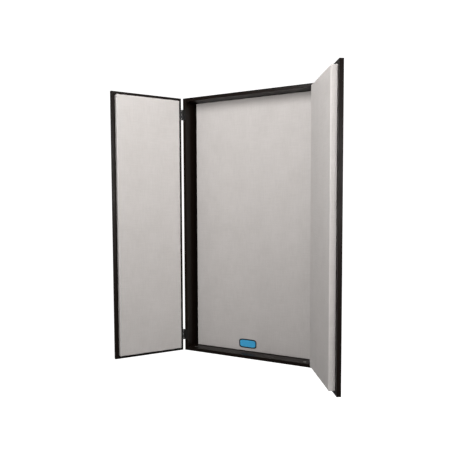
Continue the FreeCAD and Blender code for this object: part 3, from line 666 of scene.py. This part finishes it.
class BOOTH_OT_panels(bpy.types.Operator):
    """Draw the cloth over the three acoustic panels"""
    bl_idname = "booth.panels"
    bl_label = "Wrap the panels"

    def execute(self, context):
        cloth = context.scene.booth_cloth
        material = woven_polyester(cloth)
        places = (
            ("back_panel", "cabinet", STILL, -1),
            ("left_door", "left_door", closed_turn("left"), 1),
            ("right_door", "right_door", closed_turn("right"), 1),
        )
        for seed, (prefix, body, turn, facing) in enumerate(places, start=FIRST_SEED):
            node = prefix + "_fabric"
            low, high = box_when(node, turn)
            half_x, _, half_z = (high - low) / 2
            wrap = Wrap(cloth, half_x, half_z, high[1] - low[1], seed)
            piece = wrap.build(prefix.replace("_panel", "") + "_panel_cloth")
            base_y = low[1] if facing > 0 else high[1]
            middle = Vector(((low[0] + high[0]) / 2, base_y, (low[2] + high[2]) / 2))
            spin = STILL if facing > 0 else Matrix.Rotation(math.pi, 4, "Z")
            piece.data.transform(turn.inverted() @ Matrix.Translation(middle) @ spin)
            thicken(piece, cloth.cloth)
            paint([piece], material)
            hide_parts(node)
            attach(piece, body)
        wool = speckled("glass_wool", cloth.wool_dark, cloth.wool, 2 * MM, 0.0, (0.85, 1.0),
                        0.6 * MM, (1.0, 6.0, 1.0))
        paint([NODES[prefix + "_core"] for prefix, *_ in places], wool)
        return {"FINISHED"}


class BOOTH_OT_boards(bpy.types.Operator):
    """Lacquer the boards and finish the back board and the cleats"""
    bl_idname = "booth.boards"
    bl_label = "Finish the boards"

    def execute(self, context):
        boards = context.scene.booth_boards
        turns = {"left_door_board": closed_turn("left"), "right_door_board": closed_turn("right")}
        for name in ("left_side_board", "right_side_board", "top_board", "bottom_board",
                     "left_door_board", "right_door_board"):
            paint([NODES[name]], satin_lacquer(boards, name, turns.get(name, STILL)))
        paint([NODES["back_board"]], tempered_hardboard(boards))
        ply = birch_plywood(boards)
        paint([NODES[name] for name in ("hanging_cleat", "wall_cleat", "lower_rail")], ply)
        beech = speckled("turned_beech", boards.beech_dark, boards.beech, 1.2 * MM, 0.0,
                         (0.55, 0.75), 0.1 * MM, (0.1, 1.0, 1.0))
        paint([NODES["wood_dowels"]], beech)
        return {"FINISHED"}


class BOOTH_OT_fittings(bpy.types.Operator):
    """Finish the hinges, screws, cam locks and clips"""
    bl_idname = "booth.fittings"
    bl_label = "Finish the fittings"

    def execute(self, context):
        fittings = context.scene.booth_fittings
        powder = speckled("powder_coated_steel", darker(fittings.powder, 0.8), fittings.powder,
                          fittings.grit, 0.0, (0.38, 0.5), 0.06 * MM)
        cast = speckled("die_cast_zinc", darker(fittings.zinc, 0.8), fittings.zinc, 0.8 * MM,
                        1.0, (0.38, 0.55), 0.05 * MM)
        bright = speckled("zinc_plated_steel", darker(fittings.bright, 0.85), fittings.bright,
                          0.5 * MM, 1.0, (0.22, 0.36), 0.02 * MM)
        black = [item for name, item in NODES.items() if "leaf" in name or "pin" in name]
        paint(black, powder)
        paint([NODES["cam_locks"], NODES["cam_bolts"]], cast)
        plated = [item for name, item in NODES.items()
                  if name == "back_screws" or "clip" in name]
        paint(plated, bright)
        return {"FINISHED"}


class BOOTH_OT_badge(bpy.types.Operator):
    """Mould the blank badge on the back panel"""
    bl_idname = "booth.badge"
    bl_label = "Mould the badge"

    def execute(self, context):
        fittings = context.scene.booth_fittings
        low, high = box_when("maker_plate", STILL)
        piece, in_rim = self.plate(low, high)
        face = speckled("satin_abs_badge", darker(fittings.badge, 0.85), fittings.badge, 0.7 * MM,
                        0.0, (0.35, 0.45), 0.02 * MM)
        rim = speckled("satin_abs_rim", darker(fittings.badge_rim, 0.8), fittings.badge_rim,
                       0.7 * MM, 0.0, (0.3, 0.4), 0.02 * MM)
        paint([piece], face)
        piece.data.materials.append(rim)
        piece.data.polygons.foreach_set("material_index", in_rim)
        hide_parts("maker_plate")
        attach(piece, "cabinet")
        return {"FINISHED"}

    def plate(self, low, high):
        """A rounded plate: a profile of insets and heights carried round a superellipse.

        The profile climbs the side, rounds over a raised rim, drops into the field and domes
        gently to the middle. Returns the plate and, for every face, 1 in the rim and behind,
        and 0 in the field.
        """
        half = (high - low) / 2
        middle = (high + low) / 2
        inset = BADGE_INSETS * MM
        rise = BADGE_RISES * (high[1] - low[1])
        angle = np.linspace(0, math.tau, BADGE_POINTS, endpoint=False)
        squareness = 2 / BADGE_POWER
        ring_x = np.sign(np.cos(angle)) * np.abs(np.cos(angle)) ** squareness
        ring_z = np.sign(np.sin(angle)) * np.abs(np.sin(angle)) ** squareness
        x = middle[0] + ring_x * (half[0] - inset[:, None])
        z = middle[2] + ring_z * (half[2] - inset[:, None])
        y = np.broadcast_to(high[1] - rise[:, None], x.shape)
        points = np.stack([x, y, z], -1).reshape(-1, 3)
        rings, count = x.shape
        faces = rings_to_faces(rings, count)
        faces.append(list(range(count)))
        in_rim = np.zeros(len(faces), np.int32)
        in_rim[:RIM_BANDS * count] = 1
        in_rim[-1] = 1
        return mesh_piece("blank_badge", points, faces), in_rim


class BOOTH_OT_stage(bpy.types.Operator):
    """Set up the camera, the pale floor and the soft lamps"""
    bl_idname = "booth.stage"
    bl_label = "Set the stage"

    def execute(self, context):
        stage = context.scene.booth_stage
        low, high = CAD_BOX
        self.camera(context, stage)
        self.backdrop(stage, low.z - stage.floor_drop)
        middle = Vector((0, 0, (low.z + high.z) / 2))
        for name, (watts, place, aim, width) in SOFTBOXES.items():
            self.softbox(name, getattr(stage, watts), middle + Vector(place),
                         middle + Vector((0, 0, aim)), width)
        world = bpy.data.worlds.new("room")
        world.use_nodes = True
        back = world.node_tree.nodes["Background"]
        back.inputs["Color"].default_value = WHITE
        back.inputs["Strength"].default_value = stage.ambient
        context.scene.world = world
        context.scene.view_settings.view_transform = "Standard"
        return {"FINISHED"}

    def camera(self, context, stage):
        """A standard lens at eye height, to the right of the booth and turned towards it."""
        lens = bpy.data.cameras.new("camera")
        lens.lens = stage.lens
        lens.shift_x, lens.shift_y = stage.shift
        lens.clip_end = 100.0
        camera = bpy.data.objects.new("camera", lens)
        camera.location = stage.eye
        level = Euler((math.pi / 2 - stage.pitch, 0, stage.yaw)).to_matrix()
        camera.rotation_euler = (level @ Matrix.Rotation(-stage.roll, 3, "Z")).to_euler()
        context.scene.collection.objects.link(camera)
        context.scene.camera = camera

    def softbox(self, name, watts, place, target, width):
        """A square soft lamp, turned from its place towards a target."""
        lamp = bpy.data.lights.new(name, "AREA")
        lamp.energy = watts
        lamp.size = width
        item = bpy.data.objects.new(name, lamp)
        item.location = place
        item.rotation_euler = (target - place).to_track_quat("-Z", "Y").to_euler()
        bpy.context.scene.collection.objects.link(item)

    def backdrop(self, stage, level):
        """A pale floor disc inside a plain white dome. Both are seen, but light nothing."""
        angle = np.linspace(0, math.tau, DOME_ROUND, endpoint=False)
        rise = np.linspace(0, math.pi / 2, DOME_UP)[:-1]
        x = DOME_RADIUS * np.cos(rise)[:, None] * np.cos(angle)
        y = DOME_RADIUS * np.cos(rise)[:, None] * np.sin(angle)
        z = level + DOME_RADIUS * np.sin(rise)[:, None] + 0 * angle
        points = np.stack([x, y, z], -1).reshape(-1, 3)
        dome = mesh_piece("dome", points, rings_to_faces(len(rise), DOME_ROUND))
        floor = mesh_piece("floor", points[:DOME_ROUND], [list(range(DOME_ROUND))], smooth=False)
        for item, glow in ((dome, DOME_GLOW), (floor, FLOOR_GLOW)):
            material, tree = new_material("pale_" + item.name)
            surface(tree, Base_Color=stage.floor, Roughness=0.9, Specular_IOR_Level=0.1,
                    Emission_Color=WHITE, Emission_Strength=glow)
            paint([item], material)
            item.visible_diffuse = False
            item.visible_glossy = False
        dome.visible_shadow = False


class BOOTH_PT_panel(bpy.types.Panel):
    """Lists the booth's settings and steps"""
    bl_idname = "BOOTH_PT_panel"
    bl_label = "Vocal booth"
    bl_space_type = "VIEW_3D"
    bl_region_type = "UI"
    bl_category = "Booth"

    def draw(self, context):
        for step, group in STEPS:
            box = self.layout.box()
            settings = getattr(context.scene, group)
            for name in settings.__annotations__:
                box.prop(settings, name)
            box.operator(step.bl_idname)


STEPS = (
    (BOOTH_OT_stage, "booth_stage"),
    (BOOTH_OT_panels, "booth_cloth"),
    (BOOTH_OT_boards, "booth_boards"),
    (BOOTH_OT_fittings, "booth_fittings"),
    (BOOTH_OT_badge, "booth_fittings"),
)
GROUPS = {
    "booth_cloth": BoothClothSettings,
    "booth_boards": BoothBoardSettings,
    "booth_fittings": BoothFittingSettings,
    "booth_stage": BoothStageSettings,
}


def register():
    for name, group in GROUPS.items():
        bpy.utils.register_class(group)
        setattr(bpy.types.Scene, name, bpy.props.PointerProperty(type=group))
    for step, _ in STEPS:
        bpy.utils.register_class(step)
    bpy.utils.register_class(BOOTH_PT_panel)


def unregister():
    bpy.utils.unregister_class(BOOTH_PT_panel)
    for step, _ in STEPS:
        bpy.utils.unregister_class(step)
    for name, group in GROUPS.items():
        delattr(bpy.types.Scene, name)
        bpy.utils.unregister_class(group)


def main():
    register()
    bpy.ops.booth.stage()
    bpy.ops.booth.panels()
    bpy.ops.booth.boards()
    bpy.ops.booth.fittings()
    bpy.ops.booth.badge()


if __name__ == "__main__":
    main()
